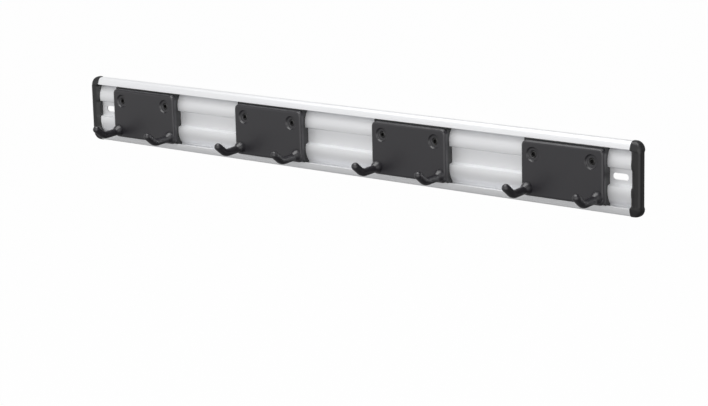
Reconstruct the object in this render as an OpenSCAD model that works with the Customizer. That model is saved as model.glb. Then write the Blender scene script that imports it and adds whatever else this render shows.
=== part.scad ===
// Wall tool holder: an extruded wall rail with end caps and four hook plates that slide along it.
// X runs along the rail, Z is up, and the wall is the plane Y = 0 behind the rail.
// The origin is the middle of the rail's wall face.

/* [Rail] */
// Length over both end caps
overall_length = 900; // [860:10:1300]
// Height of the rail
rail_height = 87; // [86:0.5:100]
// Depth of the rail from the wall to the front of its lips
rail_depth = 10.5; // [10.2:0.1:12]
// Wall thickness of the extrusion
web_wall = 2; // [1.6:0.1:2.2]
// Height of the top and the bottom lip
lip_height = 10.1; // [9:0.1:11]
// Thickness of the two lips
lip_wall = 2.3; // [1.8:0.1:2.6]
// Radius of the bulged fronts of the lips
lip_crown = 28; // [24:1:40]
// Angle by which the top lip's front leans back at its free edge
top_lean = 12; // [6:0.5:13]
// Angle by which the bottom lip's front leans back at its free edge
bottom_lean = 8; // [4:0.5:12]
// Outer corner radius of the top lip
top_radius = 6.5; // [4:0.5:7]
// Outer corner radius of the bottom lip
bottom_radius = 4; // [3:0.5:6]
// Height of the floor of the middle recess
recess_height = 18.6; // [16:0.2:20]
// How much the recess widens towards its mouth, on each side
recess_draft = 1.7; // [1:0.1:2]
// Radius of the two bulged panels
panel_radius = 26; // [24:0.5:28]
// Height of each panel's crest above or below the middle
crest_height = 16.5; // [15:0.5:18]
// How far the crests lie behind the front of the lips
crest_setback = 2.9; // [2.5:0.1:3.4]

/* [Wall slots] */
// Length of each wall slot
slot_length = 22; // [14:0.5:30]
// Height of each wall slot
slot_height = 8; // [5:0.5:10]
// Metal between a slot and the end cap
slot_margin = 6.65; // [4:0.05:30]

/* [End caps] */
// Width of the part of a cap that covers the rail and closes its end
cap_width = 14.35; // [14:0.05:20]
// Thickness of the wall that closes the rail's end
cap_end_wall = 8; // [7.5:0.5:9]
// Thickness of the cap outside the lips
cap_skirt = 0.6; // [0.5:0.1:1.6]
// How far the cap's front between its thicker ends lies behind the front of the lips
cap_setback = 0.2; // [0:0.1:1]
// How far the cap's inner edge stands back between its thicker ends
cap_inner_waist = 1.2; // [0:0.1:1.5]
// How far the cap's outer side stands back between its thicker ends
cap_outer_waist = 1.6; // [0:0.1:2]
// Depth of the cap's inner edge over the recess
cap_edge = 7.1; // [4:0.1:7.5]
// Width of the slope along the cap's inner edge
cap_slope = 6.6; // [4:0.2:7]
// Radius of the cap's corners as seen from the front
cap_corner = 10; // [5:0.5:10]
// Radius of the cap's outer front edge as seen from above
cap_round = 5.5; // [2:0.5:5.5]
// Radius of the cap's outer back edge as seen from above
cap_back_round = 0.8; // [0.4:0.1:1]

/* [Holders] */
// Space between the left end cap and the first hook plate
first_gap = 36.95; // [5:0.05:60]
// Space between the last hook plate and the right end cap
last_gap = 30.85; // [5:0.05:60]
// Place of the second holder, from 0 at the first to 1 at the last
second_share = 0.33188; // [0.28:0.00001:0.38]
// Place of the third holder, from 0 at the first to 1 at the last
third_share = 0.66899; // [0.62:0.00001:0.72]
// Width of a hook plate
plate_width = 115; // [105:1:150]
// Height of a hook plate
plate_height = 65.5; // [60:0.5:66]
// How far the plate's middle lies below the middle of the rail
plate_drop = 1.1; // [0:0.1:2]
// Thickness of a hook plate
plate_thickness = 5.5; // [5:0.1:8]
// Corner radius of a hook plate
plate_corner = 6.5; // [4:0.5:10]
// Radius of the front edges of a hook plate
plate_edge = 2.5; // [1:0.5:3]
// How far each end of the slide shoe lies behind the plate's side edge
shoe_inset = 1; // [0:0.1:3]
// How far the slide shoe stands out in front of the lips
shoe_stand = 1; // [0.5:0.1:2]
// How far the shoe reaches up and down behind the lips
shoe_reach = 4.6; // [3:0.1:6]

/* [Prongs] */
// Diameter of a prong
prong_diameter = 9.8; // [8:0.1:12]
// Distance from the plate's side edge to a prong's axis
prong_inset = 8; // [7:0.5:20]
// Distance from the plate's bottom edge to a prong's root
prong_lift = 8.25; // [7:0.05:20]
// Length of the lower run, from the plate to the corner of the elbow
run_length = 28.6; // [20:0.2:60]
// Angle by which the lower run falls towards the elbow
run_droop = 3; // [0:0.5:6]
// Length of the raised end, from the corner of the elbow to the middle of the round tip
tip_length = 16.6; // [12:0.2:40]
// Angle by which the raised end climbs
tip_climb = 38; // [20:1:70]
// Radius of the elbow along the prong's axis
elbow_radius = 10; // [6.5:0.5:12]
// Radius of the fillet between the plate and the prong
root_fillet = 6; // [3:0.5:7]

/* [Clamp screws] */
// Distance between the two clamp screws of a holder
screw_spacing = 82; // [60:1:84]
// Height of the clamp screws above the middle of the rail
screw_height = 16.5; // [12:0.5:20]
// Thread diameter of a clamp screw
screw_diameter = 8; // [5:0.5:8]
// Width across the flats of the screw's socket
socket_width = 4; // [2.5:0.5:4]
// Depth of the screw's socket
socket_depth = 3; // [2:0.5:3]
// How far the screw's face lies behind the front of the plate
screw_sink = 4.2; // [3:0.1:4.4]
// How far the tip stands out behind the insert
tip_stand = 0.4; // [0.2:0.1:0.8]
// Diameter of the round recess about a screw
recess_diameter = 18; // [14:0.5:20]
// Depth of the round recess
recess_depth = 1.2; // [0.6:0.1:1.6]
// Outer diameter of a threaded insert
insert_diameter = 11; // [10:0.5:12]
// Length of a threaded insert
insert_length = 6; // [4:0.5:6.2]

/* [Fits] */
// Gap between the shoe and the rail
slide_gap = 0.3; // [0.2:0.05:0.4]
// Gap round the rail inside an end cap
cap_fit = 0.1; // [0.05:0.05:0.3]
// Radial gap between a screw and its insert
thread_gap = 0.05; // [0.02:0.01:0.1]
// Radial gap between an insert and the parts that hold it
insert_gap = 0.05; // [0.02:0.01:0.1]
// Radial gap between a locating peg and its hole
peg_gap = 0.05; // [0.02:0.01:0.1]
// Room round a screw in the plate's own bore
bore_room = 0.6; // [0.4:0.1:0.9]

/* [Hidden] */
$fn = 96;

// A cut runs past the faces it opens by this much
over = 1;
// Drawn pieces of one outline overlap by this much
joint = 0.01;

half_height = rail_height / 2;
// Height at which the lips begin
lip_start = half_height - lip_height;
// Y of the panel arcs' centres and of the crests
crest_y = -(rail_depth - crest_setback);
panel_y = crest_y + panel_radius;
floor_half = recess_height / 2;
// Height at which the recess wall meets the panel's front
mouth_half = floor_half + recess_draft;
// Y of the panel's front where the recess wall meets it
mouth_y = panel_y - sqrt(pow(panel_radius, 2) - pow(crest_height - mouth_half, 2));
// Height at which the back of a panel comes down to the wall
panel_end = crest_height + sqrt(pow(panel_radius - web_wall, 2) - pow(panel_y, 2));

cap_inner = overall_length / 2 - cap_width;
metal_half = overall_length / 2 - cap_end_wall;
slot_x = cap_inner - slot_margin - slot_length / 2;

// X of the middle of each holder
first_x = -cap_inner + first_gap + plate_width / 2;
last_x = cap_inner - last_gap - plate_width / 2;
holder_places = [for (share = [0, second_share, third_share, 1]) first_x + share * (last_x - first_x)];

// Y of the joint between plate and shoe, and of the plate's front
shoe_front = -rail_depth - shoe_stand;
plate_front = shoe_front - plate_thickness;
prong_x = plate_width / 2 - prong_inset;
// Height of the plate's bottom edge
plate_foot = -plate_drop - plate_height / 2;
prong_z = plate_foot + prong_lift;
prong_radius = prong_diameter / 2;
// The raised end is a trace slimmer, so that it can start inside the elbow
trace = 0.02;
tip_radius = prong_radius - trace;
tip_entry = 0.3;
// The fillet's lowest point lies this far below the face, so that the two cross at an angle
fillet_sink = 0.05;

screw_face = plate_front + screw_sink;
screw_tip = crest_y - slide_gap;
insert_back = screw_tip - tip_stand;
insert_front = insert_back - insert_length;
screw_bore = screw_diameter + 2 * bore_room;

// Locating pegs on the back of the plate
peg_diameter = 5;
peg_length = 3;
peg_root = 0.5;
peg_x = 26;
peg_z = 25.5;

function holder_x(i) = holder_places[i - 1];

// Carries a section drawn in Y and Z along X, from x0 over the given length
module along_rail(x0, length) {
    translate([x0, 0, 0])
        rotate([90, 0, 90])
            linear_extrude(length)
                children();
}

// Turns a form drawn with its axis along +Z so that it points out from the wall
module outwards() {
    rotate([90, 0, 0]) children();
}

// Centre of a lip's bulged front, which passes through the lip's front edge
function crown_centre(lean) = [-rail_depth + lip_crown * cos(lean), lip_start - lip_crown * sin(lean)];
// Centre of the corner rounding, which touches the bulged front and the lip's top
function corner_centre(lean, radius) =
    let (crown = crown_centre(lean), z = half_height - radius)
    [crown[0] - sqrt(pow(lip_crown - radius, 2) - pow(z - crown[1], 2)), z];
// Height at which the two arcs meet on an outline that lies further out by the given distance
function meeting_height(lean, radius, grown) =
    let (crown = crown_centre(lean), corner = corner_centre(lean, radius))
    crown[1] + (lip_crown + grown) * (corner[1] - crown[1]) / (lip_crown - radius);

// A lip's outline from z0 upwards and back to Y = -back, grown outwards by the given distance
module lip_outline(grown, back, z0, lean, radius) {
    crown = crown_centre(lean);
    corner = corner_centre(lean, radius);
    meet = meeting_height(lean, radius, grown);
    front = -rail_depth - grown - over;
    top = half_height + grown;
    intersection() {
        translate(crown) circle(lip_crown + grown);
        translate([front, z0]) square([-back - front, meet - z0]);
    }
    intersection() {
        translate(corner) circle(radius + grown);
        translate([front, meet - joint]) square([corner[0] + joint - front, top + over - meet]);
    }
    translate([corner[0], meet - joint]) square([-back - corner[0], top - meet + joint]);
}

// The upper half of the rail's section; the lower half is the mirror image of one with another lip
module half_section(lean, radius) {
    translate([-web_wall, -joint]) square([web_wall, floor_half + 2 * joint]);
    // The recess wall
    polygon([
        [0, floor_half], [0, floor_half + web_wall], [-web_wall, floor_half + web_wall],
        [mouth_y, mouth_half + web_wall], [mouth_y, mouth_half], [-web_wall, floor_half]
    ]);
    // The bulged panel
    intersection() {
        translate([panel_y, crest_height]) difference() {
            circle(panel_radius);
            circle(panel_radius - web_wall);
        }
        translate([-rail_depth, mouth_half]) square([rail_depth, panel_end + web_wall / 2 - mouth_half]);
    }
    // The flat behind the lip, and the lip
    translate([-web_wall, panel_end]) square([web_wall, half_height - lip_wall - panel_end]);
    difference() {
        lip_outline(0, 0, lip_start, lean, radius);
        lip_outline(-lip_wall, web_wall, lip_start - over, lean, radius);
    }
}

module rail_section() {
    half_section(top_lean, top_radius);
    mirror([0, 1]) half_section(bottom_lean, bottom_radius);
}

module wall_slot() {
    for (side = [-1, 1])
        translate([side * (slot_length - slot_height) / 2, over, 0])
            outwards() cylinder(h = web_wall + 2 * over, d = slot_height);
    translate([-(slot_length - slot_height) / 2, -web_wall - over, -slot_height / 2])
        cube([slot_length - slot_height, web_wall + 2 * over, slot_height]);
}

module rail() {
    color("gainsboro")
        difference() {
            along_rail(-metal_half, 2 * metal_half) rail_section();
            for (side = [-1, 1])
                translate([side * slot_x, 0, 0]) wall_slot();
        }
}

// Height of the cap above the middle of the rail
cap_top = half_height + cap_skirt;
waist_front = rail_depth - cap_setback;
// Plastic in front of the rail's panels at the cap's inner edge
edge_cover = 0.25;
// The thicker ends run out into the waist over this height
waist_blend = 1.2;
waist_start = lip_start - waist_blend;
// Slope along the inner edge of the thicker ends
block_slope = 0.5;
// Height of the slope's middle as a share of its rise, which crowns the slope
slope_crown = 0.62;
// The roundings take at most this share of the cap's depth
round_share = 0.48;
round_steps = 6;
// Room for the rail's end inside the cap
pocket_width = cap_width - cap_end_wall + cap_fit;

// Depth of the cap's front over the lips, whose rounded outline it follows
function block_depth(z) =
    let (
        lean = z > 0 ? top_lean : bottom_lean, radius = z > 0 ? top_radius : bottom_radius,
        bulged = abs(z) < meeting_height(lean, radius, cap_skirt),
        centre = bulged ? crown_centre(lean) : corner_centre(lean, radius),
        reach = (bulged ? lip_crown : radius) + cap_skirt
    )
    sqrt(max(0, reach * reach - pow(abs(z) - centre[1], 2))) - centre[0];
function front_depth(z) =
    abs(z) >= lip_start ? block_depth(z)
    : let (block_front = block_depth(z > 0 ? lip_start : -lip_start))
        lookup(abs(z), [[waist_start, waist_front], [lip_start, block_front]]);
function panel_depth(z) = sqrt(pow(panel_radius, 2) - pow(abs(z) - crest_height, 2)) - panel_y;
// Depth of the cap's inner edge over the web
function edge_depth(z) =
    abs(z) < mouth_half ? cap_edge
    : abs(z) <= waist_start ? max(cap_edge, panel_depth(z) + cap_fit + edge_cover)
    : front_depth(z);
function slope_width(z) = lookup(abs(z), [[waist_start, cap_slope], [lip_start, block_slope]]);
// Width of the cap at a height, with its corners rounded off
function width_at(z) =
    let (rise = max(0, abs(z) - (cap_top - cap_corner)))
    cap_width - lookup(abs(z), [[waist_start, cap_outer_waist], [lip_start, 0]])
        - cap_corner + sqrt(max(0, cap_corner * cap_corner - rise * rise));
function arc(x, y, r, a0, a1, steps) =
    [for (k = [0 : steps]) let (a = a0 + (a1 - a0) * k / steps) [x + r * cos(a), y + r * sin(a)]];
// One level of the cap, seen from above: X outwards from the inner edge, Y out from the wall
function cap_level(z) =
    let (
        w = width_at(z), front = front_depth(z), edge = edge_depth(z), slope = slope_width(z),
        inner = lookup(abs(z), [[waist_start, cap_inner_waist], [lip_start, 0]]),
        r = min(cap_round, round_share * front),
        // At the back the rounding leaves the rail's end covered
        back_r = max(min(cap_back_round, w - pocket_width - edge_cover), edge_cover)
    )
    concat(
        [[inner, 0]],
        arc(w - back_r, back_r, back_r, -90, 0, round_steps),
        arc(w - r, front - r, r, 0, 90, round_steps),
        [[inner + slope, front], [inner + slope / 2, edge + slope_crown * (front - edge)], [inner, edge]]
    );
corner_steps = 9;
waist_steps = 5;
// Heights of the levels above the middle, closer together where the outline turns
upper_levels = concat(
    [0, floor_half - over, mouth_half],
    [for (k = [1 : waist_steps]) mouth_half + (waist_start - mouth_half) * k / waist_steps],
    [lip_start],
    [for (k = [0 : corner_steps]) cap_top - cap_corner * (1 - sin(90 * k / corner_steps))]
);
cap_levels = concat([for (k = [len(upper_levels) - 1 : -1 : 1]) -upper_levels[k]], upper_levels);

// Joins the levels, which all have as many points, into one closed skin
module cap_body() {
    levels = [for (z = cap_levels) [for (p = cap_level(z)) [p[0], -p[1], z]]];
    n = len(levels[0]);
    last = len(levels) - 1;
    polyhedron(
        points = [for (level = levels) each level],
        faces = concat(
            [[for (i = [n : -1 : 1]) i % n]],
            [for (l = [0 : last - 1]) for (i = [0 : n - 1]) let (j = (i + 1) % n)
                for (f = [[l * n + i, l * n + j, (l + 1) * n + i],
                          [l * n + j, (l + 1) * n + j, (l + 1) * n + i]]) f],
            [[for (i = [0 : n - 1]) last * n + i]]
        )
    );
}

// The right-hand cap: its body less the room for the rail's end
module end_cap() {
    color([0.2, 0.2, 0.2])
        difference() {
            translate([cap_inner, 0, 0]) cap_body();
            along_rail(cap_inner - over, pocket_width + over)
                offset(delta = cap_fit, $fn = 48) rail_section();
        }
}

module end_cap_right() { end_cap(); }
module end_cap_left() { mirror([1, 0, 0]) end_cap(); }

// Section of the plate's rim: outwards in X, and up from the back in Y
module rim_section() {
    square([plate_corner, plate_thickness - plate_edge]);
    square([plate_corner - plate_edge, plate_thickness]);
    translate([plate_corner - plate_edge, plate_thickness - plate_edge]) circle(plate_edge);
}

// A slab with rounded corners and rounded front edges, on its back face, centred
module rounded_plate() {
    inner = [plate_width / 2 - plate_corner, plate_height / 2 - plate_corner];
    translate([-inner[0], -inner[1], 0]) cube([2 * inner[0], 2 * inner[1], plate_thickness]);
    for (turn = [0, 1, 2, 3]) {
        side = turn % 2 == 0 ? inner : [inner[1], inner[0]];
        rotate([0, 0, 90 * turn]) {
            translate([side[0], side[1], 0]) rotate_extrude(angle = 90) rim_section();
            translate([side[0], side[1], 0])
                rotate([90, 0, 0]) linear_extrude(2 * side[1]) rim_section();
        }
    }
}

// The plate's outline, to trim what grows out of its face
module plate_outline() {
    x = plate_width / 2 - plate_corner;
    z = plate_height / 2 - plate_corner;
    translate([-x, -plate_height / 2]) square([2 * x, plate_height]);
    translate([-plate_width / 2, -z]) square([plate_width, 2 * z]);
    for (sx = [-1, 1], sz = [-1, 1]) translate([sx * x, sz * z]) circle(plate_corner);
}

// The trumpet-shaped root between plate and prong, with a foot that fills the plate's rounded edge
module prong_root() {
    foot = prong_radius + root_fillet;
    rotate_extrude() {
        difference() {
            translate([0, -fillet_sink]) square([foot, root_fillet]);
            translate([foot, root_fillet - fillet_sink]) circle(root_fillet);
        }
        polygon([[0, -plate_edge], [foot + plate_edge, -plate_edge], [foot, -fillet_sink],
            [foot - over, joint - fillet_sink], [0, joint - fillet_sink]]);
    }
}

// A prong on the face z = 0: the lower run, the elbow and the raised end with its round tip
module prong() {
    bend = run_droop + tip_climb;
    tangent = elbow_radius * tan(bend / 2);
    run = run_length / cos(run_droop) - tangent;
    rotate([run_droop, 0, 0]) {
        translate([0, 0, -over]) cylinder(h = run + over, r = prong_radius);
        translate([0, elbow_radius, run]) {
            rotate([90, 0, 0]) rotate([0, -90, 0])
                rotate_extrude(angle = bend) translate([elbow_radius, 0]) circle(prong_radius);
            rotate([-bend, 0, 0]) translate([0, -elbow_radius, 0]) {
                translate([0, 0, -tip_entry]) cylinder(h = tip_length - tangent + tip_entry, r = tip_radius);
                translate([0, 0, tip_length - tangent]) sphere(tip_radius);
            }
        }
    }
}

// Places what follows at the two screws of a holder, with +Z out from the wall
module at_screws() {
    for (side = [-1, 1]) translate([side * screw_spacing / 2, 0, screw_height]) outwards() children();
}

module at_pegs() {
    for (sx = [-1, 1], sz = [-1, 1]) translate([sx * peg_x, 0, sz * peg_z]) outwards() children();
}

module hook_plate(i) {
    color([0.23, 0.23, 0.24])
        translate([holder_x(i), 0, 0]) {
            difference() {
                translate([0, shoe_front, -plate_drop]) outwards() rounded_plate();
                at_screws() {
                    translate([0, 0, -plate_front - recess_depth])
                        cylinder(h = recess_depth + over, d = recess_diameter);
                    translate([0, 0, -shoe_front - over])
                        cylinder(h = plate_thickness + 2 * over, d = screw_bore);
                    translate([0, 0, -shoe_front - over])
                        cylinder(h = -insert_front + shoe_front + over + insert_gap,
                            d = insert_diameter + 2 * insert_gap);
                }
            }
            translate([0, plate_front, 0]) outwards() {
                intersection() {
                    for (side = [-1, 1]) translate([side * prong_x, prong_z, 0]) prong_root();
                    translate([0, -plate_drop, -plate_edge])
                        linear_extrude(root_fillet + plate_edge) plate_outline();
                }
                for (side = [-1, 1]) translate([side * prong_x, prong_z, 0]) prong();
            }
            at_pegs() translate([0, 0, -shoe_front - peg_length])
                cylinder(h = peg_length + peg_root, d = peg_diameter);
        }
}

// Half of the shoe's section: it stands out between the lips, reaches behind them and follows
// the lip's inner side, the bulged panel and the recess
module half_shoe(lean, radius) {
    gap = slide_gap;
    back = -web_wall - gap;
    difference() {
        union() {
            translate([shoe_front, -joint]) square([back - shoe_front, lip_start - gap + joint]);
            intersection() {
                lip_outline(-lip_wall - gap, -back, crest_height, lean, radius);
                translate([-rail_depth, crest_height])
                    square([rail_depth, lip_start + shoe_reach - crest_height]);
            }
        }
        intersection() {
            translate([panel_y, crest_height]) circle(panel_radius + gap);
            polygon([
                [over, floor_half - gap], [back, floor_half - gap], [mouth_y - gap, mouth_half - gap],
                [-rail_depth, mouth_half - gap], [-rail_depth, half_height], [over, half_height]
            ]);
        }
    }
}

module slide_shoe(i) {
    color([0.16, 0.16, 0.16])
        translate([holder_x(i), 0, 0])
            difference() {
                along_rail(-plate_width / 2 + shoe_inset, plate_width - 2 * shoe_inset) {
                    half_shoe(top_lean, top_radius);
                    mirror([0, 1]) half_shoe(bottom_lean, bottom_radius);
                }
                at_screws() translate([0, 0, -screw_tip - over])
                    cylinder(h = screw_tip - shoe_front + 2 * over, d = insert_diameter + 2 * insert_gap);
                at_pegs() translate([0, 0, -shoe_front - peg_length - peg_gap])
                    cylinder(h = peg_length + over, d = peg_diameter + 2 * peg_gap);
            }
}

module thread_inserts(i) {
    color("goldenrod")
        translate([holder_x(i), 0, 0])
            at_screws() translate([0, 0, -insert_back])
                difference() {
                    cylinder(h = insert_length, d = insert_diameter);
                    translate([0, 0, -over])
                        cylinder(h = insert_length + 2 * over, d = screw_diameter + 2 * thread_gap);
                }
}

module clamp_screw(i, side) {
    color("dimgray")
        translate([holder_x(i) + side * screw_spacing / 2, screw_tip, screw_height]) outwards()
            difference() {
                cylinder(h = screw_tip - screw_face, d = screw_diameter);
                translate([0, 0, screw_tip - screw_face - socket_depth])
                    cylinder(h = socket_depth + over, d = socket_width / cos(30), $fn = 6);
            }
}

rail();
end_cap_left();
end_cap_right();
hook_plate(1);  // hook_plate_1
slide_shoe(1);  // slide_shoe_1
thread_inserts(1);  // thread_inserts_1
clamp_screw(1, -1);  // clamp_screw_1_left
clamp_screw(1, 1);  // clamp_screw_1_right
hook_plate(2);  // hook_plate_2
slide_shoe(2);  // slide_shoe_2
thread_inserts(2);  // thread_inserts_2
clamp_screw(2, -1);  // clamp_screw_2_left
clamp_screw(2, 1);  // clamp_screw_2_right
hook_plate(3);  // hook_plate_3
slide_shoe(3);  // slide_shoe_3
thread_inserts(3);  // thread_inserts_3
clamp_screw(3, -1);  // clamp_screw_3_left
clamp_screw(3, 1);  // clamp_screw_3_right
hook_plate(4);  // hook_plate_4
slide_shoe(4);  // slide_shoe_4
thread_inserts(4);  // thread_inserts_4
clamp_screw(4, -1);  // clamp_screw_4_left
clamp_screw(4, 1);  // clamp_screw_4_right
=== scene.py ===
import math

import bmesh
import bpy
from mathutils import Matrix, Vector


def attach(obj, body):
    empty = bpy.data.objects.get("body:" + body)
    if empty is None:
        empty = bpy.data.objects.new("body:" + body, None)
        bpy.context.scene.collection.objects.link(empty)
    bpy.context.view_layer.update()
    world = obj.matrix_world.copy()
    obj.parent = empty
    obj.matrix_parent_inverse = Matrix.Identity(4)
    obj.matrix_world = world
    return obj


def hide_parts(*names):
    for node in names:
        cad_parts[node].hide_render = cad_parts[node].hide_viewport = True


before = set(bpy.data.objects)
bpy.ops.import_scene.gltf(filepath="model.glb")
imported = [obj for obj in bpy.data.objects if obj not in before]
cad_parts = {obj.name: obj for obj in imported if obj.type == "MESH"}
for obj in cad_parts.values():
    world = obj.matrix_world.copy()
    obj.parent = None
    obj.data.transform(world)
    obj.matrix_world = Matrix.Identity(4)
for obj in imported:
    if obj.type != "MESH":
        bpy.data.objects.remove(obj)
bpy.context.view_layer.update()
scene = bpy.context.scene


# Camera: it stands to the right of the rail and a little above it, about 2.7 metres away, and
# leans by a degree and a half.
azimuth = math.radians(40.7025)
elevation = math.radians(12.2548)
lean = math.radians(-1.4143)
camera_place = (1.75826, -2.02527, 0.50021)
level = Vector((math.cos(azimuth), math.sin(azimuth), 0))
backwards = Vector(
    (math.sin(azimuth) * math.cos(elevation), -math.cos(azimuth) * math.cos(elevation), math.sin(elevation))
)
upright = backwards.cross(level)
camera_axes = (
    math.cos(lean) * level + math.sin(lean) * upright,
    math.cos(lean) * upright - math.sin(lean) * level,
    backwards,
)
camera = bpy.data.objects.new("camera", bpy.data.cameras.new("camera"))
scene.collection.objects.link(camera)
camera.data.sensor_width = 36.0
camera.data.lens = 110.127
camera.matrix_world = Matrix.Translation(camera_place) @ Matrix(camera_axes).transposed().to_4x4()
scene.camera = camera


# Rail: one length of extruded aluminium, satin anodised. The die gives it a recess along its
# middle, a bulged panel above and below it and an undercut lip along each edge; a slot for a wall
# screw is milled near each end.
rail_length = 884.0
rail_depth = 10.5
half_height = 43.5
web = 2.0
lip_wall = 2.3
lip_start = 33.9
lip_crown = 28.0
floor_half = 9.3
mouth_half = 11.0
crest = 16.5
panel_radius = 26.0
panel_y = 18.4
slot_length, slot_height, slot_spacing = 22.0, 8.0, 836.0
floor_round, mouth_round, inner_round, edge_round = 0.35, 0.45, 0.3, 0.4
MM = 0.001


def arc(cy, cz, radius, start, end, steps):
    """Points of an arc about (cy, cz), from one angle to another in degrees."""
    turns = [math.radians(start + (end - start) * k / steps) for k in range(steps + 1)]
    return [(cy + radius * math.cos(t), cz + radius * math.sin(t)) for t in turns]


def eased(points, steps=4):
    """The closed outline through points (y, z, r), with each corner rounded to its radius r."""
    out = []
    for k, (y, z, r) in enumerate(points):
        here = Vector((y, z))
        if r == 0:
            out.append(here)
            continue
        to_last = (Vector(points[k - 1][:2]) - here).normalized()
        to_next = (Vector(points[(k + 1) % len(points)][:2]) - here).normalized()
        half = to_last.angle(to_next) / 2
        middle = here + (to_last + to_next).normalized() * (r / math.sin(half))
        first = here + to_last * (r / math.tan(half)) - middle
        last = here + to_next * (r / math.tan(half)) - middle
        for s in range(steps + 1):
            turned = first
            if first.angle(last) > 1e-4:
                turned = first.slerp(last, s / steps).normalized() * r
            out.append(middle + turned)
    return out


class Lip:
    """A lip's outline: a front that leans back on a wide arc, then a corner arc up to the edge."""

    def __init__(self, lean, corner):
        self.lean, self.corner = lean, corner
        tilt = math.radians(lean)
        self.front = (-rail_depth + lip_crown * math.cos(tilt), lip_start - lip_crown * math.sin(tilt))
        self.edge_z = half_height - corner
        rise = self.edge_z - self.front[1]
        self.edge_y = self.front[0] - math.sqrt((lip_crown - corner) ** 2 - rise**2)
        self.turn = math.degrees(math.atan2(rise, self.edge_y - self.front[0]))

    def outline(self, distance, steps=12):
        """Points from the lip's free edge up to its top, moved outwards by a distance."""
        wide, tight = lip_crown + distance, self.corner + distance
        start = 180 - math.degrees(math.asin((lip_start - self.front[1]) / wide))
        return arc(*self.front, wide, start, self.turn, steps) + arc(
            self.edge_y, self.edge_z, tight, self.turn, 90, steps
        )[1:]

    def depth(self, z, distance):
        """How far the outline, moved outwards by a distance, stands from the wall at a height."""
        wide, tight = lip_crown + distance, self.corner + distance
        if z > self.edge_z + tight * math.sin(math.radians(self.turn)):
            return -self.edge_y + math.sqrt(max(0, tight**2 - (z - self.edge_z) ** 2))
        return -self.front[0] + math.sqrt(wide**2 - (max(z, lip_start) - self.front[1]) ** 2)


upper_lip = Lip(lean=12.0, corner=6.5)
lower_lip = Lip(lean=8.0, corner=4.0)


def half_section(lip, sign):
    """The rail's section from the middle of its floor round to the middle of its back."""
    front_end = math.degrees(math.acos((panel_y + web) / panel_radius))
    mouth = math.degrees(math.asin((crest - mouth_half) / panel_radius))
    back_end = math.degrees(math.acos(panel_y / (panel_radius - web)))
    back_mouth = 9.9
    points = [(-web, 0, 0), (-web, floor_half, floor_round)]
    panel = arc(panel_y, crest, panel_radius, 180 + mouth, 180 - front_end, 34)
    points += [(*panel[0], mouth_round)] + [(*p, 0) for p in panel[1:]]
    points += [(-web, half_height - lip_wall, inner_round)]
    inner, outer = lip.outline(-lip_wall)[::-1], lip.outline(0)
    points += [(*p, 0) for p in inner[:-1]] + [(*inner[-1], inner_round), (*outer[0], edge_round)]
    points += [(*p, 0) for p in outer[1:]]
    points += [(0, half_height, edge_round)]
    back = arc(panel_y, crest, panel_radius - web, 180 - back_end, 180 + back_mouth, 30)
    points += [(*p, 0) for p in back]
    points += [(-web, floor_half + web, inner_round), (0, floor_half + web, inner_round), (0, 0, 0)]
    return [(y, sign * z, r) for y, z, r in points]


upper = half_section(upper_lip, 1)
lower = half_section(lower_lip, -1)
rail_outline = eased(upper[:-1] + list(reversed(lower[1:])))


def mesh_object(name, points, faces):
    """A new object at the origin, with its mesh made from points in millimetres and faces."""
    mesh = bpy.data.meshes.new(name)
    mesh.from_pydata([Vector(p) * MM for p in points], [], faces)
    mesh.update()
    made = bpy.data.objects.new(name, mesh)
    scene.collection.objects.link(made)
    return made


def turned_out(made):
    """Merges doubled points and turns every face outwards."""
    skin = bmesh.new()
    skin.from_mesh(made.data)
    bmesh.ops.remove_doubles(skin, verts=skin.verts, dist=1e-7)
    bmesh.ops.recalc_face_normals(skin, faces=skin.faces)
    skin.to_mesh(made.data)
    skin.free()
    return made


def settled(made, smooth_angle):
    """Shades the mesh smooth but for edges sharper than the angle, with normals weighted by area."""
    for polygon in made.data.polygons:
        polygon.use_smooth = True
    apply_all(made)
    made.data.set_sharp_from_angle(angle=math.radians(smooth_angle))
    for polygon in made.data.polygons:
        polygon.use_smooth = True
    weighted = made.modifiers.new("normals", "WEIGHTED_NORMAL")
    weighted.keep_sharp = True
    weighted.weight = 100
    apply_all(made)
    return made


def apply_all(made):
    """Turns an object with modifiers into one plain mesh."""
    bpy.context.view_layer.update()
    shape = made.evaluated_get(bpy.context.evaluated_depsgraph_get())
    mesh = bpy.data.meshes.new_from_object(shape)
    made.modifiers.clear()
    made.data = mesh


class Tree:
    """A node tree being drawn up, for a material or for geometry."""

    def __init__(self, tree):
        self.tree = tree

    def node(self, kind, settings=None, **values):
        """Adds a node: its settings, then values, links or lists of links, by socket name or number."""
        made = self.tree.nodes.new(kind)
        for name, value in (settings or {}).items():
            if name == "stops":
                ramp = made.color_ramp
                while len(ramp.elements) < len(value):
                    ramp.elements.new(1.0)
                for element, (place, shade) in zip(ramp.elements, value):
                    element.position = place
                    element.color = shade if hasattr(shade, "__len__") else (shade, shade, shade, 1)
            else:
                setattr(made, name, value)
        for name, value in values.items():
            key = int(name[1:]) if name[0] == "_" and name[1:].isdigit() else name.replace("_", " ")
            socket = made.inputs[key]
            if isinstance(value, Socket):
                self.tree.links.new(value.socket, socket)
            elif isinstance(value, list):
                for each in value:
                    self.tree.links.new(each.socket, socket)
            else:
                socket.default_value = value
        return Outputs(self, made)


class Outputs:
    """The outputs of a node, by name."""

    def __init__(self, tree, made):
        self.tree, self.made = tree, made

    def __getitem__(self, key):
        return Socket(self.tree, self.made.outputs[key])


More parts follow.
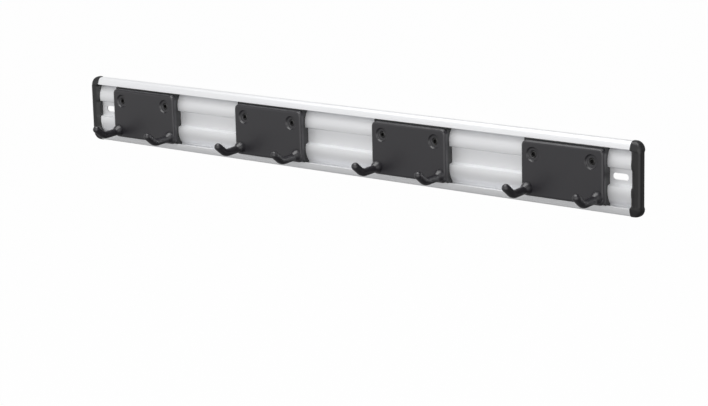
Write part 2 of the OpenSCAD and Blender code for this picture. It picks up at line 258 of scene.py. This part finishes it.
class Socket:
    """An output that can be reckoned with: sums and products of it add Math nodes."""

    def __init__(self, tree, socket):
        self.tree, self.socket = tree, socket

    def math(self, operation, first, second):
        return self.tree.node("ShaderNodeMath", {"operation": operation}, _0=first, _1=second)[0]

    def __add__(self, other):
        return self.math("ADD", self, other)

    def __sub__(self, other):
        return self.math("SUBTRACT", self, other)

    def __rsub__(self, other):
        return self.math("SUBTRACT", other, self)

    def __mul__(self, other):
        return self.math("MULTIPLY", self, other)

    __radd__ = __add__
    __rmul__ = __mul__


def new_material(name):
    """An empty material, as a tree."""
    material = bpy.data.materials.new(name)
    material.use_nodes = True
    material.node_tree.nodes.clear()
    return material, Tree(material.node_tree)


def noise(t, place, scale, detail, roughness=0.5):
    """Noise between about 0.3 and 0.7 in the piece's own coordinates, with a scale for each axis."""
    where = t.node("ShaderNodeMapping", Vector=place, Scale=scale)["Vector"]
    made = t.node("ShaderNodeTexNoise", Vector=where, Scale=1.0, Detail=detail, Roughness=roughness)
    return made["Fac"]


def two_tone(t, mask, first, second):
    """A colour between two others, by a mask."""
    made = t.node("ShaderNodeMix", {"data_type": "RGBA"}, Factor=mask, _6=(*first, 1), _7=(*second, 1))
    return made["Result"]


anodised, t = new_material("satin_anodised_aluminium")
place = t.node("ShaderNodeTexCoord")["Object"]
die_lines = noise(t, place, (3.0, 2600.0, 2600.0), 3.0, 0.6)
broad_lines = noise(t, place, (1.2, 420.0, 420.0), 2.0)
etch = noise(t, place, (5200.0, 5200.0, 5200.0), 2.0)
clouds = noise(t, place, (14.0, 40.0, 40.0), 3.0)
streaks = 0.5 * die_lines + 0.2 * broad_lines + 0.3 * clouds
tint = two_tone(t, streaks, (0.90, 0.905, 0.92), (0.96, 0.965, 0.98))
sheen = 0.40 + 0.10 * die_lines + 0.06 * clouds + 0.06 * etch
relief = die_lines * 0.7 + etch * 0.3
bump = t.node("ShaderNodeBump", Strength=0.16, Distance=0.00004, Height=relief)["Normal"]
surface = t.node(
    "ShaderNodeBsdfPrincipled",
    Base_Color=tint,
    Metallic=0.5,
    Roughness=sheen,
    Normal=bump,
)["BSDF"]
t.node("ShaderNodeOutputMaterial", Surface=surface)


def geometry_tree(name, sockets):
    """An empty geometry tree with the given inputs, and its group input and output."""
    group = bpy.data.node_groups.new(name, "GeometryNodeTree")
    group.interface.new_socket("Geometry", in_out="INPUT", socket_type="NodeSocketGeometry")
    for label, kind, value in sockets:
        made = group.interface.new_socket(label, in_out="INPUT", socket_type=kind)
        if value is not None:
            made.default_value = value
    group.interface.new_socket("Geometry", in_out="OUTPUT", socket_type="NodeSocketGeometry")
    t = Tree(group)
    return group, t, t.node("NodeGroupInput")


def grown(made, group, values):
    """Runs a geometry tree on an object and leaves the result as its plain mesh."""
    modifier = made.modifiers.new(group.name, "NODES")
    modifier.node_group = group
    for item in group.interface.items_tree:
        if item.item_type == "SOCKET" and item.in_out == "INPUT" and item.name in values:
            modifier[item.identifier] = values[item.name]
    apply_all(made)
    return made


extrusion, t, given = geometry_tree(
    "rail_extrusion",
    [
        ("Length", "NodeSocketFloat", rail_length * MM),
        ("Slot Length", "NodeSocketFloat", slot_length * MM),
        ("Slot Height", "NodeSocketFloat", slot_height * MM),
        ("Slot Spacing", "NodeSocketFloat", slot_spacing * MM),
        ("Material", "NodeSocketMaterial", None),
    ],
)
along = t.node("ShaderNodeCombineXYZ", X=given["Length"])["Vector"]
pulled = t.node(
    "GeometryNodeExtrudeMesh",
    {"mode": "FACES"},
    Mesh=given["Geometry"],
    Offset=along,
    Offset_Scale=1.0,
    Individual=False,
)["Mesh"]
first_end = t.node("GeometryNodeFlipFaces", Mesh=given["Geometry"])["Mesh"]
joined = t.node("GeometryNodeJoinGeometry", _0=[pulled, first_end])["Geometry"]
bar = t.node("GeometryNodeMergeByDistance", Geometry=joined, Distance=1e-6)["Geometry"]

outline = t.node(
    "GeometryNodeCurvePrimitiveQuadrilateral",
    Width=given["Slot Length"],
    Height=given["Slot Height"],
)["Curve"]
rounded = t.node(
    "GeometryNodeFilletCurve",
    {"mode": "POLY"},
    Curve=outline,
    Radius=given["Slot Height"] * 0.4999,
    Count=16,
)["Curve"]
blank = t.node("GeometryNodeFillCurve", {"mode": "NGONS"}, Curve=rounded)["Mesh"]
cutter_length = 0.02
raised = t.node(
    "GeometryNodeExtrudeMesh",
    {"mode": "FACES"},
    Mesh=blank,
    Offset=(0, 0, 1),
    Offset_Scale=cutter_length,
    Individual=False,
)["Mesh"]
base = t.node("GeometryNodeFlipFaces", Mesh=blank)["Mesh"]
closed = t.node("GeometryNodeJoinGeometry", _0=[raised, base])["Geometry"]
cutter = t.node("GeometryNodeMergeByDistance", Geometry=closed, Distance=1e-6)["Geometry"]
cutters = []
for side in (-0.5, 0.5):
    spot = t.node("ShaderNodeCombineXYZ", X=given["Slot Spacing"] * side, Y=cutter_length / 2)["Vector"]
    placed = t.node(
        "GeometryNodeTransform",
        Geometry=cutter,
        Translation=spot,
        Rotation=(math.pi / 2, 0, 0),
    )
    cutters.append(placed["Geometry"])
both = t.node("GeometryNodeJoinGeometry", _0=cutters)["Geometry"]
milled = t.node(
    "GeometryNodeMeshBoolean",
    {"operation": "DIFFERENCE", "solver": "EXACT"},
    _0=bar,
    _1=both,
)["Mesh"]
real = t.node("GeometryNodeRealizeInstances", Geometry=milled)["Geometry"]
finished = t.node("GeometryNodeSetMaterial", Geometry=real, Material=given["Material"])["Geometry"]
t.node("NodeGroupOutput", Geometry=finished)

end_x = -rail_length / 2
end_face = [list(range(len(rail_outline)))]
rail = mesh_object("rail_profile", [(end_x, y, z) for y, z in rail_outline], end_face)
grown(rail, extrusion, {"Material": anodised})
turned_out(rail)
settled(rail, 32)
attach(rail, "rail")
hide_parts("rail")


# End caps: moulded black plastic, pushed over the rail's ends. Each wraps the lips with a thicker
# block at its top and bottom and has a waist between them whose inner edge slopes down to the web.
overall = 900.0
cap_width, cap_skirt, cap_setback = 14.35, 0.6, 0.25
cap_inner_waist, cap_outer_waist = 1.2, 0.9
cap_edge, cap_slope, cap_corner = 7.1, 6.6, 10.0
cap_round, cap_waist_round, cap_back_round = 5.5, 3.5, 0.8
cap_fit, cap_end_wall, cap_cover = 0.1, 8.0, 0.25
cap_inner = overall / 2 - cap_width
cap_top = half_height + cap_skirt
waist_start = lip_start - 2.4
waist_end = lip_start - 0.2


def blend_in(value, low, high):
    """0 below low, 1 above high and a smooth step between them."""
    x = min(max((value - low) / (high - low), 0), 1)
    return x * x * (3 - 2 * x)


def panel_depth(z):
    """How far the bulged panel stands out from the wall at a height."""
    return math.sqrt(panel_radius**2 - (abs(z) - crest) ** 2) - panel_y


def cap_level(z, count=14):
    """One level of the cap seen from above, as (outwards, out from the wall)."""
    up = abs(z)
    lip = upper_lip if z > 0 else lower_lip
    block = blend_in(up, waist_start, waist_end)
    block_front = lip.depth(up, cap_skirt)
    waist_front = rail_depth + cap_setback
    front = waist_front + (block_front - waist_front) * block
    cover = panel_depth(z) + cap_fit + cap_cover if up < 42 else 0
    low_edge = max(cap_edge, cap_edge + (cover - cap_edge) * blend_in(up, 8.6, 11.2))
    edge = low_edge + (front - low_edge) * block
    slope = cap_slope + (0.6 - cap_slope) * block
    corner = max(0.0, up - (cap_top - cap_corner))
    width = cap_width - cap_corner + math.sqrt(max(0.0, cap_corner**2 - corner**2))
    start = cap_inner_waist * (1 - block) * (1 - 0.85 * blend_in(up, 9.0, 12.0))
    r = min(cap_waist_round + (cap_round - cap_waist_round) * block, 0.48 * front)
    back = min(cap_back_round, 0.3 * front)
    taper = cap_outer_waist * (1 - block)
    points = [(start, 0.3), (start + 0.3, 0)]
    points += arc(width - taper - back, back, back, -90, 0, count)
    points += arc(width - r, front - r, r, 0, 90, count)
    for k in range(9):
        s = k / 8
        points.append((start + slope * (1 - s), edge + (front - edge) * (1 - s**1.7)))
    return points


corner_start = cap_top - cap_corner
corner_turns = [math.radians(90 * k / 22) for k in range(23)]
corner_levels = sorted({round(cap_top - cap_corner * (1 - math.sin(turn)), 4) for turn in corner_turns})
straight_levels = [k * 0.8 for k in range(42) if k * 0.8 < corner_start - 0.5]
levels = straight_levels + corner_levels
levels = [-z for z in reversed(levels[1:])] + levels


def lofted(name, rings):
    """One closed skin through rings of equal length, with flat ends."""
    count = len(rings[0])
    points = [p for ring in rings for p in ring]
    faces = [list(range(count))[::-1], [(len(rings) - 1) * count + k for k in range(count)]]
    for r in range(len(rings) - 1):
        for k in range(count):
            n = (k + 1) % count
            faces.append([r * count + k, r * count + n, (r + 1) * count + n, (r + 1) * count + k])
    return turned_out(mesh_object(name, points, faces))


def offset(outline, distance):
    """The outline moved outwards by a distance, point by point."""
    area = sum(a.x * b.y - b.x * a.y for a, b in zip(outline, outline[1:] + outline[:1]))
    out = []
    for k, here in enumerate(outline):
        along = (outline[(k + 1) % len(outline)] - outline[k - 1]).normalized()
        out.append(here + Vector((along.y, -along.x)) * math.copysign(distance, area))
    return out


def cut(made, tool, operation="DIFFERENCE"):
    """Cuts one closed solid with another, which is used up."""
    knife = made.modifiers.new("cut", "BOOLEAN")
    knife.object = tool
    knife.operation = operation
    knife.solver = "EXACT"
    apply_all(made)
    bpy.data.objects.remove(tool)
    return made


black_plastic, t = new_material("moulded_black_plastic")
place = t.node("ShaderNodeTexCoord")["Object"]
grain = noise(t, place, (2400.0, 2400.0, 2400.0), 4.0, 0.6)
clouds = noise(t, place, (60.0, 60.0, 60.0), 3.0)
tint = two_tone(t, grain * 0.6 + clouds * 0.4, (0.008, 0.008, 0.0085), (0.014, 0.014, 0.0150))
bump = t.node("ShaderNodeBump", Strength=0.35, Distance=0.00006, Height=grain)["Normal"]
surface = t.node(
    "ShaderNodeBsdfPrincipled",
    Base_Color=tint,
    Roughness=0.34 + 0.12 * grain + 0.06 * clouds,
    IOR=1.58,
    Normal=bump,
)["BSDF"]
t.node("ShaderNodeOutputMaterial", Surface=surface)

pocket_outline = offset(rail_outline, cap_fit)
pocket_ends = (cap_inner - 3, overall / 2 - cap_end_wall + cap_fit)
for side, node in ((-1, "end_cap_left"), (1, "end_cap_right")):
    rings = [[(side * (cap_inner + x), -d, z) for x, d in cap_level(z)] for z in levels]
    cap = lofted(node + "_moulding", rings)
    pocket = lofted("pocket", [[(side * x, y, z) for y, z in pocket_outline] for x in pocket_ends])
    cut(cap, pocket)
    cap.data.materials.append(black_plastic)
    settled(cap, 38)
    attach(cap, "rail")
    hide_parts(node)


# Slide shoes: moulded black blocks that run between the lips, reach behind them, follow the bulged
# panels and fill the recess. Each carries a hook plate. Its ends flare by 0.5 mm, where a chamfer
# was meant, and so touch the rail.
shoe_width = 113.0
shoe_front = -11.5
slide_gap = 0.3
shoe_reach = 4.6
shoe_round, shoe_fine_round, shoe_flare = 0.4, 0.3, 0.5
pocket_radius = 5.55
holder_places = (-341.2, -112.7, 119.4, 347.3)
screw_spacing, screw_height = 82.0, 16.5


def half_shoe(lip, sign):
    """The shoe's section from the tongue's middle round to the middle of its front."""
    back = -web - slide_gap
    reach = math.degrees(math.acos((panel_y - back) / (panel_radius + slide_gap)))
    mouth = math.degrees(math.asin((crest - mouth_half + slide_gap) / (panel_radius + slide_gap)))
    points = [(back, 0, 0), (back, floor_half - slide_gap, shoe_round)]
    follow = arc(panel_y, crest, panel_radius + slide_gap, 180 + mouth, 180 - reach, 24)
    points += [(*follow[0], shoe_fine_round)] + [(*p, 0) for p in follow[1:]]
    points += [(back, lip_start + shoe_reach, shoe_round)]
    for k, corner in enumerate((shoe_fine_round, 0, 0, 0, 0, 0, 0.2)):
        level = lip_start + shoe_reach - (shoe_reach + slide_gap) * k / 6
        points.append((-lip.depth(level, -lip_wall - slide_gap), level, corner))
    points += [(shoe_front, lip_start - slide_gap, shoe_round), (shoe_front, 0, 0)]
    return [(y, sign * z, r) for y, z, r in points]


shoe_outline = eased(half_shoe(upper_lip, 1)[:-1] + list(reversed(half_shoe(lower_lip, -1)[1:])))


def lathe(name, profile, place, count=48):
    """A closed solid turned about an axis that points out from the wall, from points (radius, depth)."""
    x, z = place
    rings = []
    for r, y in profile:
        turn = [2 * math.pi * k / count for k in range(count)]
        rings.append([(x + r * math.cos(a), y, z + r * math.sin(a)) for a in turn])
    return lofted(name, rings)


for n, x in enumerate(holder_places, 1):
    rings = []
    end = shoe_width / 2
    even = end - shoe_flare
    for dx, flare in ((-end, shoe_flare), (-even, 0), (even, 0), (end, shoe_flare)):
        rings.append([(x + dx, y, z) for y, z in offset(shoe_outline, flare)])
    shoe = lofted(f"slide_shoe_{n}_moulding", rings)
    for side in (-1, 1):
        walls = [(pocket_radius, -6.0), (pocket_radius, -13.0)]
        cut(shoe, lathe("pocket", walls, (x + side * screw_spacing / 2, screw_height)))
    shoe.data.materials.append(black_plastic)
    settled(shoe, 38)
    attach(shoe, f"holder_{n}")
    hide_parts(f"slide_shoe_{n}")


# Thread inserts: turned brass sleeves that sit in pockets between shoe and plate and take the
# clamp screws' push. They keep their solids and get their metal.
brass, t = new_material("turned_brass")
place = t.node("ShaderNodeTexCoord")["Object"]
lathe_marks = noise(t, place, (900.0, 3000.0, 900.0), 3.0)
tint = two_tone(t, lathe_marks, (0.62, 0.44, 0.18), (0.80, 0.62, 0.30))
surface = t.node(
    "ShaderNodeBsdfPrincipled",
    Base_Color=tint,
    Metallic=1.0,
    Roughness=0.24 + 0.16 * lathe_marks,
)["BSDF"]
t.node("ShaderNodeOutputMaterial", Surface=surface)
for n in range(1, 5):
    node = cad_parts[f"thread_inserts_{n}"]
    node.data.materials.clear()
    node.data.materials.append(brass)


# Hook plates: charcoal mouldings with rounded edges, pegged to the shoes. Two prongs grow out of
# the lower corners through domed roots, run forward and turn up; two round dishes lead to the screws.
plate_width, plate_height, plate_thickness = 115.2, 65.9, 6.4
plate_front = shoe_front - plate_thickness
plate_drop = 0.8
plate_corner, plate_edge, plate_foot = 6.5, 3.0, 0.3
prong_radius, prong_inset, prong_lift = 4.9, 8.5, 8.2
run_length, run_droop = 27.8, math.radians(4.0)
tip_length, tip_climb, elbow_radius = 16.6, math.radians(38.0), 15.0
root_dome, root_depth, root_blend, root_reach = 9.0, 0.6, 3.0, 12.5
dish_rim = [(10.6, -2.0), (9.15, -0.02), (8.95, 0.06), (8.8, 0.2)]
dish_wall = [(7.75, 1.65), (7.45, 1.88), (7.0, 2.0), (4.75, 2.0), (4.6, 2.06)]
dish_bore = [(4.12, 2.5), (4.1, 2.7), (4.1, 3.55)]
insert_pocket = [(pocket_radius, 3.55), (pocket_radius, 8.0)]


def rounded_rectangle(inset, steps=14):
    """The plate's outline drawn in by an inset, as (x, z), anticlockwise."""
    r = max(plate_corner - inset, 0.05)
    w, h = plate_width / 2 - plate_corner, plate_height / 2 - plate_corner
    points = []
    for cx, cz, start in ((w, h, 0), (-w, h, 90), (-w, -h, 180), (w, -h, 270)):
        points += arc(cx, cz - plate_drop, r, start, start + 90, steps)
    return points


def edge_distance(x, z):
    """How far a point of the plate lies inside its outline."""
    dx = abs(x) - (plate_width / 2 - plate_corner)
    dz = abs(z + plate_drop) - (plate_height / 2 - plate_corner)
    outside = math.hypot(max(dx, 0), max(dz, 0))
    return plate_corner - outside - min(max(dx, dz), 0)


def reach_inside(cx, cz, angle, limit):
    """How far one can go from a point of the plate in one direction and stay on it."""

    def stays_on(reach):
        return edge_distance(cx + reach * math.cos(angle), cz + reach * math.sin(angle)) > 0.02

    low, high = 0.0, limit
    if stays_on(limit):
        return limit
    for _ in range(30):
        middle = (low + high) / 2
        if stays_on(middle):
            low = middle
        else:
            high = middle
    return low


def root_radius(out, angle, limit):
    """The root's radius this far out: a dome, fuller on its upper side, eased into the prong."""
    full = prong_radius + (root_dome - prong_radius) * (0.65 + 0.35 * math.sin(angle))
    dome = math.sqrt(max(full**2 - (out + root_depth) ** 2, 0))
    near = max(root_blend - abs(dome - prong_radius), 0)
    wanted = max(dome, prong_radius) + near**2 / (4 * root_blend)
    return (wanted**-14 + limit**-14) ** (-1 / 14)


def prong_skin(name, x0, side):
    """A prong as one skin: a foot inside the plate, domed root, run, elbow, raised end and tip."""
    count = 72
    cx, cz = side * (plate_width / 2 - prong_inset), prong_lift - plate_drop - plate_height / 2
    turns = [2 * math.pi * k / count for k in range(count)]
    rings = []
    bend = run_droop + tip_climb
    tangent = elbow_radius * math.tan(bend / 2)
    run = run_length / math.cos(run_droop) - tangent
    reach = [reach_inside(cx, cz, a, root_dome + 2.5) for a in turns]
    for out in [-4.0, -0.5] + [root_reach * (k / 30) ** 1.2 for k in range(31)]:
        sizes = [root_radius(max(out, 0), a, r) for a, r in zip(turns, reach)]
        middle = cz - max(out, 0) * math.tan(run_droop)
        ring = []
        for a, r in zip(turns, sizes):
            ring.append((cx + r * math.cos(a), plate_front - out, middle + r * math.sin(a)))
        rings.append(ring)
    path = []
    for k in range(1, 5):
        s = root_reach + (run - root_reach) * k / 4
        path.append((-s * math.sin(run_droop), s * math.cos(run_droop), -run_droop, prong_radius))
    hub_up = -run * math.sin(run_droop) + elbow_radius * math.cos(run_droop)
    hub_out = run * math.cos(run_droop) + elbow_radius * math.sin(run_droop)
    for k in range(1, 19):
        a = -run_droop + bend * k / 18
        up, out = hub_up - elbow_radius * math.cos(a), hub_out + elbow_radius * math.sin(a)
        path.append((up, out, a, prong_radius))
    up, out = path[-1][:2]
    for k in range(1, 7):
        s = (tip_length - tangent) * k / 6
        centre = (up + s * math.sin(tip_climb), out + s * math.cos(tip_climb))
        path.append((*centre, tip_climb, prong_radius))
    up, out = path[-1][:2]
    for k in range(1, 13):
        b = math.radians(90 * k / 12)
        s = prong_radius * math.sin(b)
        centre = (up + s * math.sin(tip_climb), out + s * math.cos(tip_climb))
        path.append((*centre, tip_climb, max(prong_radius * math.cos(b), 0.02)))
    for up, out, tilt, radius in path:
        ring = []
        for a in turns:
            side_way, up_way = radius * math.cos(a), radius * math.sin(a)
            y, z = plate_front - out + up_way * math.sin(tilt), cz + up + up_way * math.cos(tilt)
            ring.append((cx + side_way, y, z))
        rings.append(ring)
    return lofted(name, [[(x0 + x, y, z) for x, y, z in ring] for ring in rings])


charcoal, t = new_material("moulded_charcoal_plastic")
place = t.node("ShaderNodeTexCoord")["Object"]
grain = noise(t, place, (2600.0, 2600.0, 2600.0), 4.0, 0.6)
clouds = noise(t, place, (45.0, 45.0, 45.0), 3.0)
mottle = grain * 0.6 + clouds * 0.4
tint = two_tone(t, mottle, (0.0075, 0.0066, 0.0100), (0.0118, 0.0104, 0.0150))
bump = t.node("ShaderNodeBump", Strength=0.4, Distance=0.00006, Height=grain)["Normal"]
surface = t.node(
    "ShaderNodeBsdfPrincipled",
    Base_Color=tint,
    Roughness=0.29 + 0.12 * grain + 0.06 * clouds,
    IOR=1.78,
    Normal=bump,
)["BSDF"]
t.node("ShaderNodeOutputMaterial", Surface=surface)

for n, x in enumerate(holder_places, 1):
    rings = [[(x + px, shoe_front, pz) for px, pz in rounded_rectangle(plate_foot)]]
    rings.append([(x + px, shoe_front - plate_foot, pz) for px, pz in rounded_rectangle(0)])
    for k in range(11):
        a = math.radians(9 * k)
        inset, out = plate_edge * (1 - math.cos(a)), plate_thickness - plate_edge * (1 - math.sin(a))
        rings.append([(x + px, shoe_front - out, pz) for px, pz in rounded_rectangle(inset)])
    plate = lofted(f"hook_plate_{n}_moulding", rings)
    for side in (-1, 1):
        cut(plate, prong_skin("prong", x, side), "UNION")
    walls = [(0.02, -2.0)] + dish_rim + dish_wall + dish_bore + insert_pocket + [(0.02, 8.0)]
    dish = [(r, plate_front + depth) for r, depth in walls]
    for side in (-1, 1):
        cut(plate, lathe("dish", dish, (x + side * screw_spacing / 2, screw_height), 72))
    plate.data.materials.append(charcoal)
    settled(plate, 38)
    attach(plate, f"holder_{n}")
    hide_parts(f"hook_plate_{n}")


# Clamp screws: blackened steel grub screws with a hexagon socket, turned in the inserts until
# their tips press on the rail's crest. Their mesh isn't closed cleanly: a disc stays inside where
# shaft and back chamfer meet, and some faces of shaft and chamfers point inwards.
screw_face, screw_tip = -15.5, -7.9
turned_screw, t, given = geometry_tree(
    "clamp_screw",
    [
        ("Place", "NodeSocketVector", (0, 0, 0)),
        ("Diameter", "NodeSocketFloat", 8.0 * MM),
        ("Length", "NodeSocketFloat", (screw_tip - screw_face) * MM),
        ("Chamfer", "NodeSocketFloat", 0.7 * MM),
        ("Socket Width", "NodeSocketFloat", 5.0 * MM),
        ("Socket Depth", "NodeSocketFloat", 4.0 * MM),
        ("Material", "NodeSocketMaterial", None),
    ],
)
radius = given["Diameter"] * 0.5
shaft = t.node(
    "GeometryNodeMeshCylinder",
    {"fill_type": "NGON"},
    Vertices=64,
    Radius=radius,
    Depth=given["Length"] - 2.0 * given["Chamfer"],
)["Mesh"]
turned = []
for sign in (-1, 1):
    cone = t.node(
        "GeometryNodeMeshCone",
        {"fill_type": "NGON"},
        Vertices=64,
        Radius_Top=radius - given["Chamfer"],
        Radius_Bottom=radius,
        Depth=given["Chamfer"],
    )["Mesh"]
    height = (given["Length"] * 0.5 - given["Chamfer"]) * sign
    end = t.node(
        "GeometryNodeTransform",
        Geometry=cone,
        Translation=t.node("ShaderNodeCombineXYZ", Z=height)["Vector"],
        Rotation=(0 if sign > 0 else math.pi, 0, 0),
    )
    turned.append(end["Geometry"])
whole = t.node("GeometryNodeJoinGeometry", _0=turned + [shaft])["Geometry"]
body = t.node("GeometryNodeMeshBoolean", {"operation": "UNION", "solver": "EXACT"}, _1=whole)["Mesh"]
corner_ratio = 0.57735
key = t.node(
    "GeometryNodeMeshCylinder",
    {"fill_type": "NGON"},
    Vertices=6,
    Radius=given["Socket Width"] * corner_ratio,
    Depth=given["Socket Depth"] * 2.0,
)["Mesh"]
key_hole = t.node(
    "GeometryNodeTransform",
    Geometry=key,
    Translation=t.node("ShaderNodeCombineXYZ", Z=given["Length"] * 0.5)["Vector"],
    Rotation=(0, 0, math.radians(14)),
)["Geometry"]
socketed = t.node(
    "GeometryNodeMeshBoolean",
    {"operation": "DIFFERENCE", "solver": "EXACT"},
    _0=body,
    _1=key_hole,
)["Mesh"]
standing = t.node(
    "GeometryNodeTransform",
    Geometry=socketed,
    Translation=given["Place"],
    Rotation=(math.pi / 2, 0, 0),
)["Geometry"]
real = t.node("GeometryNodeRealizeInstances", Geometry=standing)["Geometry"]
finished = t.node("GeometryNodeSetMaterial", Geometry=real, Material=given["Material"])["Geometry"]
t.node("NodeGroupOutput", Geometry=finished)

black_oxide, t = new_material("black_oxide_steel")
place = t.node("ShaderNodeTexCoord")["Object"]
wear = noise(t, place, (1800.0, 1800.0, 1800.0), 4.0)
tint = two_tone(t, wear, (0.05, 0.05, 0.053), (0.13, 0.128, 0.125))
surface = t.node(
    "ShaderNodeBsdfPrincipled",
    Base_Color=tint,
    Metallic=0.9,
    Roughness=0.26 + 0.2 * wear,
)["BSDF"]
t.node("ShaderNodeOutputMaterial", Surface=surface)

for n, x in enumerate(holder_places, 1):
    for side, word in ((-1, "left"), (1, "right")):
        screw = mesh_object(f"clamp_screw_{n}_{word}_turned", [], [])
        middle = (x + side * screw_spacing / 2, (screw_face + screw_tip) / 2, screw_height)
        grown(screw, turned_screw, {"Place": [v * MM for v in middle], "Material": black_oxide})
        turned_out(screw)
        settled(screw, 32)
        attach(screw, f"clamp_screw_{n}_{word}")
        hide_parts(f"clamp_screw_{n}_{word}")


# Studio: a plain pale floor well below the rail, a soft grey surround that is brightest level with
# the rail and on the camera's side, and one broad lamp above the rail and a little in front of it.
floor_height, paper_half = -620.0, 6000.0
paper, t = new_material("pale_floor")
ray = t.node("ShaderNodeLightPath")["Is Camera Ray"]
pale = t.node("ShaderNodeBsdfDiffuse", Color=(0.95, 0.95, 0.95, 1))["BSDF"]
unseen = t.node("ShaderNodeBsdfTransparent", Color=(1, 1, 1, 1))["BSDF"]
glow = t.node("ShaderNodeEmission", Color=(1, 1, 1, 1), Strength=1.0)["Emission"]
white_floor = t.node("ShaderNodeMixShader", Fac=0.985, _1=pale, _2=glow)["Shader"]
shown = t.node("ShaderNodeMixShader", Fac=ray, _1=unseen, _2=white_floor)["Shader"]
t.node("ShaderNodeOutputMaterial", Surface=shown)
corners = [(x * paper_half, y * paper_half, floor_height) for x, y in ((-1, -1), (1, -1), (1, 1), (-1, 1))]
floor = mesh_object("floor", corners, [[0, 1, 2, 3]])
floor.data.materials.append(paper)

surround = bpy.data.worlds.new("surround")
scene.world = surround
surround.use_nodes = True
surround.node_tree.nodes.clear()
t = Tree(surround.node_tree)
way = t.node("ShaderNodeTexCoord")["Generated"]
parted = t.node("ShaderNodeSeparateXYZ", Vector=way)
aside = parted["X"] * 0.75 + parted["Y"] * 0.6 - parted["Z"] * 0.25
nearer = t.node(
    "ShaderNodeMapRange",
    Value=aside,
    From_Min=-0.1,
    From_Max=0.75,
    To_Min=1.03,
    To_Max=0.4,
)["Result"]
ahead = parted["X"] * 0.55 - parted["Y"] * 0.81 + parted["Z"] * 0.19
fill = t.node(
    "ShaderNodeMapRange",
    {"interpolation_type": "SMOOTHSTEP"},
    Value=ahead,
    From_Min=0.5,
    From_Max=1.0,
    To_Min=0.0,
    To_Max=1.35,
)["Result"]
greys_below = [(0.0, 0.22), (0.13, 0.28), (0.25, 0.31), (0.4, 0.41), (0.47, 0.66)]
greys_above = [(0.52, 0.86), (0.58, 0.80), (0.7, 0.46), (0.85, 0.22), (1.0, 0.16)]
shade = t.node(
    "ShaderNodeValToRGB",
    {"stops": greys_below + greys_above},
    Fac=parted["Z"] * 0.5 + 0.5,
)["Color"]
room = t.node("ShaderNodeBackground", Color=shade, Strength=nearer + fill)["Background"]
white = t.node("ShaderNodeBackground", Color=(1, 1, 1, 1), Strength=1.0)["Background"]
seen = t.node("ShaderNodeLightPath")["Is Camera Ray"]
both = t.node("ShaderNodeMixShader", Fac=seen, _1=room, _2=white)["Shader"]
t.node("ShaderNodeOutputWorld", Surface=both)

lamp = bpy.data.objects.new("overhead_lamp", bpy.data.lights.new("overhead_lamp", "AREA"))
scene.collection.objects.link(lamp)
lamp.data.shape = "RECTANGLE"
lamp.data.size, lamp.data.size_y = 1.8, 1.25
lamp.data.energy = 23.0
lamp.location = (-0.1, -0.35, 1.6)
lamp.rotation_mode = "QUATERNION"
lamp.rotation_quaternion = Vector(lamp.location).to_track_quat("Z", "Y")

scene.view_settings.view_transform = "Standard"
